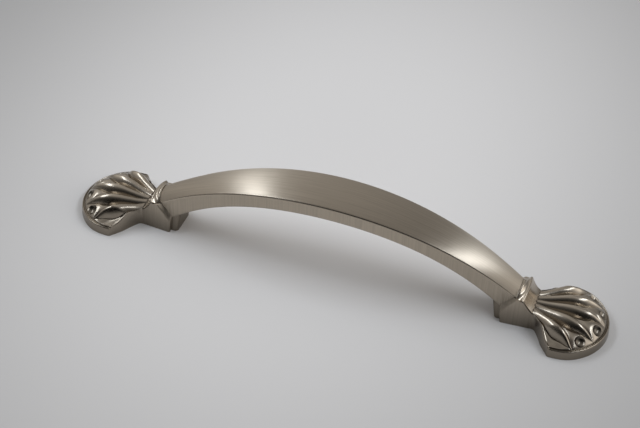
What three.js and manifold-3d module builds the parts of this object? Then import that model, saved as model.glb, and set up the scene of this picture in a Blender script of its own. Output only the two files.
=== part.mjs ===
// Cabinet handle: one casting with an arched bar and a scallop shell foot at each end.
// Millimetres, +Z up. The origin is midway between the feet, in the plane of the mounting surface.
// The bar runs along X, and the handle is the same at both ends.

import * as THREE from "three";
import { LoftGeometry } from "three/addons/geometries/LoftGeometry.js";
import { mergeVertices } from "three/addons/utils/BufferGeometryUtils.js";
import Module from "manifold-3d";

const { lerp, degToRad, radToDeg, smoothstep } = THREE.MathUtils;

// Fixing
const SCREW_SPACING = 96; // between the two screw axes
const SCREW_BORE = 3.3; // drilled size of the tapped hole
const SCREW_DEPTH = 7; // full-diameter depth, before the drill point
const MOUTH_BORE = 4.3; // countersunk mouth of the tapped hole

// Arched bar: a section is crowned on top, flat at the sides and below
const BAR_EDGE_HEIGHT = 24.8; // top edge of the side face, at the middle
const BAR_CROWN = 0.8; // rise of the crown above that edge, at the middle
const BAR_WIDTH = 13.7; // at the middle
const BAR_THICKNESS = 4.3; // height of the side face, at the middle
const BAR_END_HEIGHT = 8.7; // top edge of the side face, where the collar starts
const BAR_END_CROWN = 2.3;
const BAR_END_WIDTH = 7.9;
const BAR_END_THICKNESS = 7.9;
const BAR_FULLNESS = 0.16; // 0 is a parabola, and more keeps the middle flatter
const BAR_EDGE_RADIUS = 0.4;

// Collar and neck, measured outward from the screw axis
const COLLAR_START = 2.6; // where the collar rises from the bar
const RIDGE_OUT = 4.4; // crest of the collar
const RIDGE_HEIGHT = 9.1; // of the crest at the side of the handle
const RIDGE_WIDTH = 9.9;
const RIDGE_CROWN = 0.95;
const RIDGE_LEAN = 0.4; // outward shift of the crest for each millimetre of crown
const WAIST_OUT = 7.6; // where the neck ends and the shell starts
const WAIST_HEIGHT = 5.7;
const WAIST_WIDTH = 9.7; // of the shell where it starts
const WAIST_CROWN = 0.25;
const NECK_LAP = 0.2; // how far the shell starts inside the neck's end
const NECK_END_WIDTH = 9.3;
const NECK_END_ROUND = 0.4; // rounding of the neck's end, down to the shell
const NECK_HOLLOW = 0.35; // sag of the neck below a straight slope
const NECK_PINCH = 0.25; // how far each side of the neck draws in
const LIP = 0.3; // thickness of the edge that stands out over the pedestal

// Pedestal under the collar, and the narrower boss on its inner side
const PEDESTAL_IN = 0.8; // inner face, inward from the screw axis
const PEDESTAL_WIDTH = 10.7; // at the inner face
const STEP_HEIGHT = 5; // top of the pedestal's inner face
const LEDGE = 1.2; // slope between the pedestal's side and the bar's
const BOSS_IN = 2.76; // foot of the inner face, inward from the screw axis
const BOSS_LEAN = 0.15; // inward lean of that face for each millimetre of height
const BOSS_WIDTH = 8.3;
const BOSS_CORNER = 1;

// Scallop shell
const FOOT_REACH = 27; // from the screw axis to the outermost point of the rim
const RIM_RADIUS = 13.65;
const RIM_HEIGHT = 2.3; // of the groove between the shell and its border
const BORDER = 1.2; // width of the rounded border round the shell
const DOME = 2.8; // rise of the shell from that groove to its sides
const SHELL_CROWN = 0.6; // further rise in the middle
const SHELL_CROWN_HALF = 7; // how far to each side that reaches
const DOME_REACH = 1.1; // how far inside the groove most of that rise is done
const DOME_POWER = 0.85; // under 1, the rise starts steeply
const SIDE_FALL = 1.3; // how far the shell drops towards its sides
const SIDE_FALL_REACH = 4.8; // width of that drop, inside the groove
const SIDE_FALL_FROM = 30; // direction from the fan's centre in which the drop starts, in degrees
const SIDE_FALL_TO = 39; // and in which it is complete
const FOOT_IN = 0.13; // the foot of the shell's side wall at the waist, inward from its side
const EDGE_IN = 0.35; // the shell's top edge at the waist, inward from its side
const EDGE_TO_RIB = 0.13; // from there to the outer rib
const CORNER_TURN = 86; // degrees from the X axis to the shell's corner, about the rim's centre
const SIDE_TURN = 147; // direction in which the shell's side wall faces at the corner, in degrees
const RIBS = 5;
const RIB_PITCH = 16; // degrees between neighbouring ribs
const RIB_HEIGHT = 2; // of a rib above the hollows beside it
const CREASE = 0.35; // depth of the crease along each side of a rib
const CREASE_WIDTH = 0.45;
const CREASE_START = 0.4; // share of the rib over which the crease deepens from the waist
const CREASE_END = 0.12; // share of it over which the crease runs out at the tip
const DIMPLE_RADIUS = 1.3;
const DIMPLE_INSET = 2.2; // from the rim to the middle of a dimple
const DIMPLE_RISE = 0.05; // height of the ball's centre above the shell's surface

// Fineness
const BAR_STATIONS = 36;
const CROWN_STEPS = 5; // on each half of a crowned section
const RIB_ROWS = 17;
const ROUND_STEPS = 24;

const SCREW_X = SCREW_SPACING / 2;
const COLLAR_X = SCREW_X + COLLAR_START;
const RIDGE_X = SCREW_X + RIDGE_OUT;
const WAIST_X = SCREW_X + WAIST_OUT;
const RIM_X = SCREW_X + FOOT_REACH;
const RIM_CENTRE = RIM_X - RIM_RADIUS;
const SHELL_X = WAIST_X - NECK_LAP;

const point = (x, y, z) => new THREE.Vector3(x, y, z);

const wasm = await Module();
wasm.setup();

// A closed geometry as a solid, without the triangles that collapsed where its points meet.
function solid(geometry) {
  const bare = new THREE.BufferGeometry();
  bare.setAttribute("position", geometry.getAttribute("position"));
  bare.setIndex(geometry.index);
  const merged = mergeVertices(bare, 1e-4);
  const index = merged.index.array;
  const kept = [];
  for (let i = 0; i < index.length; i += 3) {
    const [a, b, c] = [index[i], index[i + 1], index[i + 2]];
    if (a !== b && b !== c && c !== a) kept.push(a, b, c);
  }
  return new wasm.Manifold(
    new wasm.Mesh({
      numProp: 3,
      vertProperties: merged.attributes.position.array,
      triVerts: new Uint32Array(kept),
    }),
  );
}

// A solid as a geometry.
function geometryOf(made) {
  const mesh = made.getMesh();
  const position = new THREE.BufferAttribute(new Float32Array(mesh.vertProperties), 3);
  const geometry = new THREE.BufferGeometry().setAttribute("position", position);
  geometry.setIndex(new THREE.BufferAttribute(new Uint32Array(mesh.triVerts), 1));
  return geometry;
}

// A lofted solid through closed sections.
function loft(sections) {
  return solid(new LoftGeometry(sections, { capStart: true, capEnd: true }));
}

// The section's points on the +Y side, followed by their mirror images on the -Y side.
function bothSides(half) {
  const other = half.map((p) => point(p.x, -p.y, p.z)).reverse();
  const onAxis = Math.abs(half[half.length - 1].y) < 1e-9;
  return [...half, ...(onAxis ? other.slice(1) : other)];
}

// Height of a crown at a share of the half width, from 1 in the middle to 0 at the edge.
const crownShare = (share) => 1 - Math.abs(share) ** 2.2;

// The bar's side face, width and crown at a distance from the middle.
function barAt(x) {
  const share = x / COLLAR_X;
  const drop = (1 - BAR_FULLNESS) * share ** 2 + BAR_FULLNESS * share ** 4;
  const taper = 1.2 * share ** 2 - 0.2 * share ** 4;
  const deepen = 0.3 * share ** 2 + 0.7 * share ** 4;
  const edge = lerp(BAR_EDGE_HEIGHT, BAR_END_HEIGHT, drop);
  return {
    edge,
    half: lerp(BAR_WIDTH, BAR_END_WIDTH, taper) / 2,
    bottom: edge - lerp(BAR_THICKNESS, BAR_END_THICKNESS, deepen),
    crown: lerp(BAR_CROWN, BAR_END_CROWN, share ** 4),
  };
}

// One section of the bar, anticlockwise as seen from +X.
function barSection(x) {
  const { edge, half, bottom, crown } = barAt(x);
  const r = BAR_EDGE_RADIUS;
  const side = [
    point(x, half - r, bottom),
    point(x, half - 0.29 * r, bottom + 0.29 * r),
    point(x, half, bottom + r),
    point(x, half, edge - r),
    point(x, half - 0.12 * r, edge - 0.45 * r),
  ];
  const inner = half - 0.4 * r;
  for (let i = CROWN_STEPS; i >= 0; i--) {
    const share = Math.sin((i / CROWN_STEPS) * (Math.PI / 2));
    side.push(point(x, inner * share, edge + crown * crownShare(share)));
  }
  return bothSides(side);
}

function bar() {
  const reach = COLLAR_X + 0.7;
  const sections = [];
  for (let i = 0; i <= BAR_STATIONS; i++) {
    sections.push(barSection(lerp(-reach, reach, i / BAR_STATIONS)));
  }
  return loft(sections);
}

// One leaning section of the collar or neck, with its lip at the sides and its foot inside the pedestal.
function neckSection(x, height, half, crown, lean) {
  const side = [
    point(x, half - 1.3, height - 1.6),
    point(x, half - 0.05, height - LIP),
  ];
  for (let i = CROWN_STEPS; i >= 0; i--) {
    const share = Math.sin((i / CROWN_STEPS) * (Math.PI / 2));
    const rise = crown * crownShare(share);
    side.push(point(x + lean * rise, half * share, height + rise));
  }
  return bothSides(side);
}

// The collar rises from the bar to its crest, and the neck falls from there to the waist.
function neck() {
  const start = barAt(COLLAR_X);
  const sections = [
    neckSection(COLLAR_X - 0.5, start.edge + 0.1, start.half - 0.15, start.crown - 0.1, RIDGE_LEAN),
    neckSection(COLLAR_X, start.edge + 0.1, start.half + 0.1, start.crown - 0.15, RIDGE_LEAN),
    neckSection(RIDGE_X - 0.3, RIDGE_HEIGHT, RIDGE_WIDTH / 2 - 0.05, RIDGE_CROWN, RIDGE_LEAN),
    neckSection(RIDGE_X, RIDGE_HEIGHT + 0.03, RIDGE_WIDTH / 2, RIDGE_CROWN, RIDGE_LEAN),
  ];
  const steps = 6;
  for (let i = 0; i <= steps; i++) {
    const t = i / steps;
    const x = lerp(RIDGE_X + 0.3, WAIST_X - NECK_END_ROUND, t);
    const sag = NECK_HOLLOW * Math.sin(Math.PI * t);
    const height = lerp(RIDGE_HEIGHT - 0.15, WAIST_HEIGHT, t) - sag;
    const half = lerp(RIDGE_WIDTH, NECK_END_WIDTH, t) / 2 - NECK_PINCH * Math.sin(Math.PI * t);
    const crown = lerp(RIDGE_CROWN, WAIST_CROWN, t);
    sections.push(neckSection(x, height, half, crown, RIDGE_LEAN * (1 - t)));
  }
  const endHalf = NECK_END_WIDTH / 2 - NECK_END_ROUND;
  sections.push(neckSection(WAIST_X, WAIST_HEIGHT - NECK_END_ROUND, endHalf, WAIST_CROWN, 0));
  return loft(sections);
}

// The pedestal's side stands straight up to a short slope that meets the bar's side.
function pedestalSection(x, width, height, lean) {
  const half = width / 2;
  return bothSides([
    point(x, half, 0),
    point(x - lean, half, height),
    point(x - lean, half - LEDGE, height + LEDGE),
  ]);
}

function pedestal() {
  const inner = SCREW_X - PEDESTAL_IN;
  const widthAt = (x) => lerp(PEDESTAL_WIDTH, WAIST_WIDTH - 0.3, (x - inner) / (WAIST_X - inner));
  const underCrest = RIDGE_HEIGHT - LIP - 0.15;
  return loft([
    pedestalSection(inner, PEDESTAL_WIDTH, STEP_HEIGHT, 0.5),
    pedestalSection(RIDGE_X - 0.4, widthAt(RIDGE_X), underCrest - 0.5, 0),
    pedestalSection(RIDGE_X + 0.1, widthAt(RIDGE_X), underCrest - LEDGE + 0.3, 0),
    pedestalSection(WAIST_X - 0.6, widthAt(WAIST_X), WAIST_HEIGHT - LIP - 0.3, 0),
    pedestalSection(WAIST_X + 1, WAIST_WIDTH - 0.3, WAIST_HEIGHT - 1.3, 0),
  ]);
}

// The boss under the bar's end, with rounded inner corners, running up into the bar.
function boss() {
  const inner = SCREW_X - BOSS_IN;
  const half = BOSS_WIDTH / 2;
  const outline = new THREE.Shape();
  outline.moveTo(SCREW_X + 2, -half);
  outline.lineTo(SCREW_X + 2, half);
  outline.lineTo(inner + BOSS_CORNER, half);
  outline.absarc(inner + BOSS_CORNER, half - BOSS_CORNER, BOSS_CORNER, Math.PI / 2, Math.PI, false);
  outline.absarc(inner + BOSS_CORNER, BOSS_CORNER - half, BOSS_CORNER, Math.PI, 1.5 * Math.PI, false);
  const height = barAt(inner).bottom + 1;
  const block = new THREE.ExtrudeGeometry(outline, { depth: height, bevelEnabled: false, curveSegments: 4 });
  return solid(block.applyMatrix4(new THREE.Matrix4().makeShear(0, 0, 0, 0, -BOSS_LEAN, 0)));
}

// Distance from the fan's centre to a circle inside the rim, along a ray.
function reachAt(angle, inset) {
  const r = RIM_RADIUS - inset;
  return RIM_FROM_FAN * Math.cos(angle) + Math.sqrt(r ** 2 - (RIM_FROM_FAN * Math.sin(angle)) ** 2);
}

// How far the shell has dropped towards its sides, at a distance inside the groove.
function sideFall(x, y, inside) {
  const turn = radToDeg(Math.abs(Math.atan2(y, x - FAN_X)));
  const across = Math.min(1, inside / SIDE_FALL_REACH);
  return SIDE_FALL * smoothstep(turn, SIDE_FALL_FROM, SIDE_FALL_TO) * Math.sin(Math.PI * across);
}

// Height of the shell's plain surface, which rises from the groove like a dome.
function domeAt(x, y) {
  const inside = Math.max(0, RIM_RADIUS - BORDER - Math.hypot(x - RIM_CENTRE, y));
  const crown = SHELL_CROWN * Math.max(0, 1 - (y / SHELL_CROWN_HALF) ** 2);
  const share = 1 - Math.exp(-((inside / DOME_REACH) ** DOME_POWER));
  return RIM_HEIGHT + (DOME + crown) * share - sideFall(x, y, inside);
}

const curveThrough = (pairs) => new THREE.SplineCurve(pairs.map(([x, y]) => new THREE.Vector2(x, y)));

// A rib's width along its length, as a share of the space between its neighbours, and its height.
const ribWidth = curveThrough([[0, 0.86], [0.3, 0.93], [0.5, 0.93], [0.65, 0.77], [0.85, 0.36], [1, 0]]);
const ribHeight = curveThrough(
  [[0, 0.17], [0.15, 0.28], [0.35, 0.65], [0.5, 0.83], [0.6, 0.9], [0.67, 0.78], [0.77, 0.45], [0.87, 0.17], [1, 0]],
);

// The ribs fan out from a centre that leaves the outer ones just inside the shell's edge at the waist.
const outerTurn = degToRad(RIB_PITCH / 2) * (RIBS - 1 + ribWidth.points[0].y);
const FAN_X = SHELL_X - (WAIST_WIDTH / 2 - EDGE_IN - EDGE_TO_RIB) / Math.tan(outerTurn);
const RIM_FROM_FAN = RIM_CENTRE - FAN_X;

// The value of a curve at a share of its length along X.
function valueAt(curve, share) {
  const { points } = curve;
  let i = 0;
  while (i < points.length - 2 && share > points[i + 1].x) i++;
  const t = (share - points[i].x) / (points[i + 1].x - points[i].x);
  return Math.max(0, curve.getPoint((i + t) / (points.length - 1)).y);
}

// The shell's corner: the inner corner of its border, and the foot of the side wall beside it.
const turnCorner = degToRad(CORNER_TURN);
const turnSide = degToRad(SIDE_TURN);
const cornerX = RIM_CENTRE + (RIM_RADIUS - BORDER) * Math.cos(turnCorner);
const cornerY = (RIM_RADIUS - BORDER) * Math.sin(turnCorner);
const footX = cornerX + BORDER * Math.cos(turnSide);
const footY = cornerY + BORDER * Math.sin(turnSide);

// The shell's side in plan, from the waist to the corner, through shares of that way along X and Y.
function sideCurve(startY, endX, endY, shares) {
  const ends = [[0, 0], ...shares, [1, 1]];
  return curveThrough(ends.map(([u, v]) => [lerp(SHELL_X, endX, u), lerp(startY, endY, v)]));
}

const sideFoot = sideCurve(
  WAIST_WIDTH / 2 - FOOT_IN, footX, footY,
  [[0.17, 0.035], [0.39, 0.26], [0.62, 0.56], [0.82, 0.8]],
);
const sideEdge = sideCurve(
  WAIST_WIDTH / 2 - EDGE_IN, cornerX, cornerY,
  [[0.23, 0.19], [0.53, 0.38], [0.75, 0.61], [0.88, 0.82]],
);

// The border's profile, level by level from its inner edge to the foot of the wall: how far out, and how high.
const BORDER_OUT = [0, 0.28, 0.58, 0.8, 0.93, 1];
const BORDER_UP = [1, 1.04, 1.12, 1.06, 0.84, 0];
const WALL = BORDER_OUT.length - 1;

// The profile's values at a level between two whole ones.
function borderAt(level) {
  const i = Math.min(WALL - 1, Math.floor(level));
  const t = level - i;
  return {
    out: lerp(BORDER_OUT[i], BORDER_OUT[i + 1], t),
    up: lerp(BORDER_UP[i], BORDER_UP[i + 1], t),
  };
}

// The levels that a section has on each side wall, from the foot up, and how much lower it is than the border.
const SIDE_LEVELS = [WALL, 4, 3, 1.8];
const SIDE_SOFT = [1, 0.92, 0.92, 0.94];

// Where a rib's cross-section and a hollow's have their points.
const RIB_POINTS = [1, 0.8, 0.45, 0, -0.45, -0.8, -1];
const HOLLOW_POINTS = [0.25, 0.5, 0.75];

// Depth of the crease at a distance from a rib's side.
function creaseAt(along, distance) {
  const fade = Math.min(1, along / CREASE_START, (1 - along) / CREASE_END);
  return CREASE * fade * Math.exp(-distance / CREASE_WIDTH);
}

// A rib's points in one row, on the dome.
function ribRow(axis, along) {
  const halfAngle = (degToRad(RIB_PITCH) / 2) * valueAt(ribWidth, along);
  const height = RIB_HEIGHT * valueAt(ribHeight, along);
  return RIB_POINTS.map((share) => {
    const angle = axis + share * halfAngle;
    const start = (SHELL_X - FAN_X) / Math.cos(angle);
    const r = lerp(start, reachAt(angle, BORDER), along);
    const x = FAN_X + r * Math.cos(angle);
    const y = r * Math.sin(angle);
    const body = height * Math.sqrt(1 - share ** 2);
    const crease = creaseAt(along, r * halfAngle * (1 - Math.abs(share)));
    return point(x, y, domeAt(x, y) + body - crease);
  });
}

// The hollow between two points of a row, bent round the rim's centre.
// Only the ends that lie beside a rib have a crease.
function hollowRow(a, b, along, ribAtA, ribAtB) {
  const width = Math.hypot(a.x - b.x, a.y - b.y);
  const [rA, rB] = [a, b].map((end) => Math.hypot(end.x - RIM_CENTRE, end.y));
  return HOLLOW_POINTS.map((share) => {
    const straight = new THREE.Vector2(lerp(a.x, b.x, share) - RIM_CENTRE, lerp(a.y, b.y, share));
    const bent = straight.setLength(lerp(rA, rB, share));
    const [x, y] = [RIM_CENTRE + bent.x, bent.y];
    const fromA = ribAtA ? creaseAt(along, share * width) : 0;
    const fromB = ribAtB ? creaseAt(along, (1 - share) * width) : 0;
    return point(x, y, domeAt(x, y) - Math.max(fromA, fromB));
  });
}

// One row of points across the shell's top, from its +Y edge to its -Y edge.
function topRow(along) {
  const { x, y } = sideEdge.getPoint(along);
  const near = point(x, y, domeAt(x, y));
  const far = point(x, -y, near.z);
  const row = [near];
  let before = near;
  for (let rib = 0; rib < RIBS; rib++) {
    const axis = degToRad(((RIBS - 1) / 2 - rib) * RIB_PITCH);
    const points = ribRow(axis, along);
    row.push(...hollowRow(before, points[0], along, rib > 0, true), ...points);
    before = points[points.length - 1];
  }
  row.push(...hollowRow(before, far, along, true, false), far);
  return row;
}

const mirrored = (p) => point(p.x, -p.y, p.z);

// A section from the foot of one side wall, over the top, to the foot of the other.
function shellSection(row, wall) {
  return [...wall, ...row, ...wall.map(mirrored).reverse()];
}

// The side wall's points beside one row.
function sideWall(edge, foot) {
  return SIDE_LEVELS.map((level, i) => {
    const { out, up } = borderAt(level);
    return point(lerp(edge.x, foot.x, out), lerp(edge.y, foot.y, out), edge.z * up * SIDE_SOFT[i]);
  });
}

// The corner's points at one level of the rim: they turn from the side wall's direction to the rim's.
function cornerWall(corner, level) {
  return SIDE_LEVELS.map((side, i) => {
    const { out, up } = borderAt(Math.max(side, level));
    const turned = level / (level + side);
    const angle = lerp(turnSide, turnCorner, turned);
    const r = BORDER * out;
    const z = corner.z * up * lerp(SIDE_SOFT[i], 1, turned);
    return point(corner.x + r * Math.cos(angle), corner.y + r * Math.sin(angle), z);
  });
}

// The shell: sections from the waist to the border, then out over the rim and down its wall.
function shell() {
  const sections = [];
  for (let i = 0; i <= RIB_ROWS; i++) {
    const along = Math.sin((i / RIB_ROWS) * (Math.PI / 2)) ** 0.95;
    const row = topRow(along);
    sections.push(shellSection(row, sideWall(row[0], sideFoot.getPoint(along))));
  }
  const last = topRow(1);
  for (let level = 1; level <= WALL; level++) {
    const { out, up } = borderAt(level);
    const r = RIM_RADIUS - BORDER * (1 - out);
    const row = last.map((p) => {
      const angle = Math.atan2(p.y, p.x - RIM_CENTRE);
      return point(RIM_CENTRE + r * Math.cos(angle), r * Math.sin(angle), p.z * up);
    });
    sections.push(shellSection(row, cornerWall(last[0], level)));
  }
  return loft(sections);
}

// The dimples lie between the ribs, close to the rim.
function dimples() {
  const balls = [];
  for (let gap = 0; gap < RIBS - 1; gap++) {
    const angle = degToRad((gap - (RIBS - 2) / 2) * RIB_PITCH);
    const r = reachAt(angle, DIMPLE_INSET);
    const x = FAN_X + r * Math.cos(angle);
    const y = r * Math.sin(angle);
    const ball = new THREE.SphereGeometry(DIMPLE_RADIUS, 14, 10);
    balls.push(solid(ball.translate(x, y, domeAt(x, y) + DIMPLE_RISE)));
  }
  return balls.reduce((all, ball) => all.add(ball));
}

// The blind tapped hole with its drill point and its countersunk mouth.
function screwHole() {
  const r = SCREW_BORE / 2;
  const mouth = MOUTH_BORE / 2;
  const profile = [
    new THREE.Vector2(0, -1),
    new THREE.Vector2(mouth, -1),
    new THREE.Vector2(mouth, 0),
    new THREE.Vector2(r, mouth - r),
    new THREE.Vector2(r, SCREW_DEPTH),
    new THREE.Vector2(0, SCREW_DEPTH + r * 0.6),
  ];
  const lathe = new THREE.LatheGeometry(profile, ROUND_STEPS);
  return solid(lathe.rotateX(Math.PI / 2).translate(SCREW_X, 0, 0));
}

// Everything at the +X end.
function foot() {
  return neck().add(pedestal()).add(boss()).add(shell()).subtract(dimples());
}

const oneFoot = foot();
const turned = solid(geometryOf(oneFoot).rotateZ(Math.PI));
const hole = screwHole();
const otherHole = solid(geometryOf(hole).rotateZ(Math.PI));
const casting = bar().add(oneFoot).add(turned).subtract(hole).subtract(otherHole);

const nickel = new THREE.MeshStandardMaterial({ color: 0x8f877b, roughness: 0.34, metalness: 1 });
const handle = new THREE.Mesh(geometryOf(casting), nickel);
handle.name = "handle_casting";

const group = new THREE.Group();
group.add(handle);

export default group;
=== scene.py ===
"""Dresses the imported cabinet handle: one nickel-plated casting with a brushed bar and satin shells.

All sizes of the handle are in millimetres, as in the CAD source, and Blender's objects are in metres.
The handle runs along X, its feet stand on z = 0, and the two ends are alike.
"""

import logging
import math
from dataclasses import dataclass, field
from enum import Enum
from typing import Sequence

import bmesh
import bpy
from mathutils import Matrix, Vector


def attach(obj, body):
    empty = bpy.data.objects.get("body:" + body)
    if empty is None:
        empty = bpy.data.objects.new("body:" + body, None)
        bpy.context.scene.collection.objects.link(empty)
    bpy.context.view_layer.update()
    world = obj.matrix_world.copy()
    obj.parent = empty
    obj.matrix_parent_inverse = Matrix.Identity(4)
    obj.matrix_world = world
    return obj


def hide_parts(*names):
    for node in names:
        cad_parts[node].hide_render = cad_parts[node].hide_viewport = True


BMesh, Tree, Socket = bmesh.types.BMesh, bpy.types.NodeTree, bpy.types.NodeSocket

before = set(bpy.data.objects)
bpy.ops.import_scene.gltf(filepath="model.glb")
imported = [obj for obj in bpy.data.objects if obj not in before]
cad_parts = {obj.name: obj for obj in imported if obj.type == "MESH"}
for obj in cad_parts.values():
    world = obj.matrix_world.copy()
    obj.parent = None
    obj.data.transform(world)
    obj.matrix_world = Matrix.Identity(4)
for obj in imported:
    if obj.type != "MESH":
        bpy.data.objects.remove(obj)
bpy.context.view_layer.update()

MM = 0.001
UV_NAME = "brush"
# Vertex attribute that marks the hollows where shade is painted into the plating's colour.
HOLLOW_SHADE_NAME = "hollow_shade"
WELD = 1e-4
CUTTER_BELOW = 1.0
log = logging.getLogger("handle")


def lerp(a: float, b: float, t: float) -> float:
    """Return the value a share t of the way from a to b."""
    return a + (b - a) * t


def smooth(value: float, low: float, high: float) -> float:
    """Return a smooth rise from 0 at low to 1 at high."""
    t = min(1.0, max(0.0, (value - low) / (high - low)))
    return t * t * (3 - 2 * t)


@dataclass(frozen=True)
class Curve:
    """A smooth curve through points, each a pair or more of numbers."""

    points: Sequence[Sequence[float]]

    def between(self, i: int, t: float) -> list[float]:
        """Return the point a share t of the way from point i to the next.

        Args:
            i: index of the point before.
            t: share of the stretch that follows it.

        Returns:
            One number for each coordinate.
        """
        last = len(self.points) - 1
        around = [self.points[min(last, max(0, i + k))] for k in (-1, 0, 1, 2)]
        made = []
        for a, b, c, d in zip(*around):
            out, into = (c - a) / 2, (d - b) / 2
            cubic = (2 * b - 2 * c + out + into) * t**3
            square = (3 * c - 3 * b - 2 * out - into) * t**2
            made.append(cubic + square + out * t + b)
        return made

    def at(self, share: float) -> list[float]:
        """Return the point at a share of the curve, with the same share for every stretch."""
        last = len(self.points) - 1
        i = min(last - 1, int(share * last))
        return self.between(i, share * last - i)

    def over(self, x: float) -> float:
        """Return the second coordinate where the first is x, and never less than 0."""
        last = len(self.points) - 1
        i = 0
        while i < last - 1 and x > self.points[i + 1][0]:
            i += 1
        start, end = self.points[i][0], self.points[i + 1][0]
        return max(0.0, self.between(i, (x - start) / (end - start))[1])


class Zone(Enum):
    """The finishes of the casting, in the order of its material slots."""

    BRUSHED_ALONG = 0
    BRUSHED_UPRIGHT = 1
    SATIN = 2


@dataclass(frozen=True)
class Fixing:
    """The tapped screw holes."""

    spacing: float = 96.0
    bore: float = 3.3
    depth: float = 7.0
    mouth: float = 4.3

    @property
    def x(self) -> float:
        """Place of a screw's axis along the handle."""
        return self.spacing / 2


@dataclass(frozen=True)
class Crown:
    """The share of a crown's height across a section."""

    power: float = 2.2

    def share(self, across: float) -> float:
        """Return 1 in the middle and 0 at the edge, for a share of the half width."""
        return 1 - abs(across) ** self.power


class Form:
    """Helpers that every modelled form of the casting shares."""

    zone: Zone = Zone.SATIN
    side_zone: Zone | None = None
    side_share: float = 0.93

    def skin(self, sections: Sequence[Sequence[Vector]]) -> BMesh:
        """Lay a grid over closed sections, weld its seam and close its two ends.

        Args:
            sections: the sections in order along the form, each with as many points, in millimetres.

        Returns:
            A closed mesh in millimetres, with its UV map along and round the form.
        """
        rows, count = len(sections) - 1, len(sections[0])
        bm = bmesh.new()
        bmesh.ops.create_grid(bm, x_segments=rows, y_segments=count, size=0.5)
        uv = bm.loops.layers.uv.new(UV_NAME)
        steps = {v: ((v.co.x + 0.5) * rows, (v.co.y + 0.5) * count) for v in bm.verts}
        for v, (along, around) in steps.items():
            v.co = sections[round(along)][round(around) % count]
        for face in bm.faces:
            for loop in face.loops:
                loop[uv].uv = steps[loop.vert]
        bmesh.ops.remove_doubles(bm, verts=bm.verts, dist=WELD)
        rim = [e for e in bm.edges if e.is_boundary]
        bmesh.ops.holes_fill(bm, edges=rim, sides=0)
        return self.closed(bm)

    def closed(self, bm: BMesh) -> BMesh:
        """Turn a closed mesh's faces outwards and give them the form's finish."""
        bmesh.ops.recalc_face_normals(bm, faces=bm.faces)
        bm.normal_update()
        uv = bm.loops.layers.uv.get(UV_NAME)
        if uv is None:
            uv = bm.loops.layers.uv.new(UV_NAME)
            for loop in (loop for face in bm.faces for loop in face.loops):
                loop[uv].uv = (loop.vert.co.x, loop.vert.co.z)
        for face in bm.faces:
            upright = self.side_zone is not None and abs(face.normal.y) > self.side_share
            face.material_index = (self.side_zone if upright else self.zone).value
            face.smooth = True
        return bm


@dataclass(frozen=True)
class Bar(Form):
    """The arched bar, crowned on top and flat at the sides and below."""

    edge_height: float = 24.8
    crown: float = 0.8
    width: float = 13.7
    thickness: float = 4.3
    end_height: float = 8.7
    end_crown: float = 2.3
    end_width: float = 7.9
    end_thickness: float = 7.9
    fullness: float = 0.16
    top_radius: float = 0.55
    low_radius: float = 0.7
    hold: float = 0.12
    collar_x: float = 50.6
    overlap: float = 0.7
    stations: int = 150
    flat_steps: int = 3
    crown_steps: int = 9
    round_steps: int = 4

    zone = Zone.BRUSHED_ALONG
    side_zone = Zone.BRUSHED_UPRIGHT

    def at(self, x: float) -> tuple[float, float, float, float]:
        """Return the top edge, half width, underside and crown of the section at x."""
        share = x / self.collar_x
        drop = (1 - self.fullness) * share**2 + self.fullness * share**4
        taper = 1.2 * share**2 - 0.2 * share**4
        deepen = 0.3 * share**2 + 0.7 * share**4
        edge = lerp(self.edge_height, self.end_height, drop)
        half = lerp(self.width, self.end_width, taper) / 2
        bottom = edge - lerp(self.thickness, self.end_thickness, deepen)
        return edge, half, bottom, lerp(self.crown, self.end_crown, share**4)

    def half_section(self, x: float) -> list[Vector]:
        """Return the section's points on the +Y side, from the middle below to the middle on top."""
        edge, half, bottom, crown = self.at(x)
        low, top = self.low_radius, self.top_radius
        points = [Vector((x, (half - low) * i / self.flat_steps, bottom)) for i in range(self.flat_steps)]
        for i in range(self.round_steps + 1):
            turn = math.pi / 2 * i / self.round_steps
            y = half - low + low * math.sin(turn)
            points.append(Vector((x, y, bottom + low - low * math.cos(turn))))
        points.append(Vector((x, half, bottom + low + self.hold)))
        points.append(Vector((x, half, edge - top - self.hold)))
        arc = math.pi / 2 - math.atan(Crown().power * crown / half)
        for i in range(self.round_steps + 1):
            turn = arc * i / self.round_steps
            rise = edge - top * (math.sin(arc) - math.sin(turn))
            points.append(Vector((x, half - top * (1 - math.cos(turn)), rise)))
        inner = points[-1].y
        for i in range(self.crown_steps - 1, -1, -1):
            across = math.sin(i / self.crown_steps * math.pi / 2)
            points.append(Vector((x, inner * across, edge + crown * Crown().share(across))))
        return points

    def build(self) -> BMesh:
        """Return the whole bar, a little longer than its visible stretch, its top edges left satin."""
        reach = self.collar_x + self.overlap
        places = [lerp(-reach, reach, i / self.stations) for i in range(self.stations + 1)]
        sections = [mirrored_ring(self.half_section(x)) for x in places]
        bm, count = self.skin(sections), len(sections[0])
        uv = bm.loops.layers.uv[UV_NAME]
        rounded_and_held = self.round_steps + 2
        start = self.flat_steps + rounded_and_held
        for face in bm.faces:
            column = sum(loop[uv].uv.y for loop in face.loops) / len(face.loops)
            if start < min(column, count - column) < start + self.round_steps:
                face.material_index = Zone.SATIN.value
        return bm


def mirrored_ring(half: list[Vector]) -> list[Vector]:
    """Complete a section whose first and last points lie on the middle plane.

    Args:
        half: the points on the +Y side.

    Returns:
        The points all the way round, once each.
    """
    other = [Vector((p.x, -p.y, p.z)) for p in half[1:-1]]
    return half + other[::-1]


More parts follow.
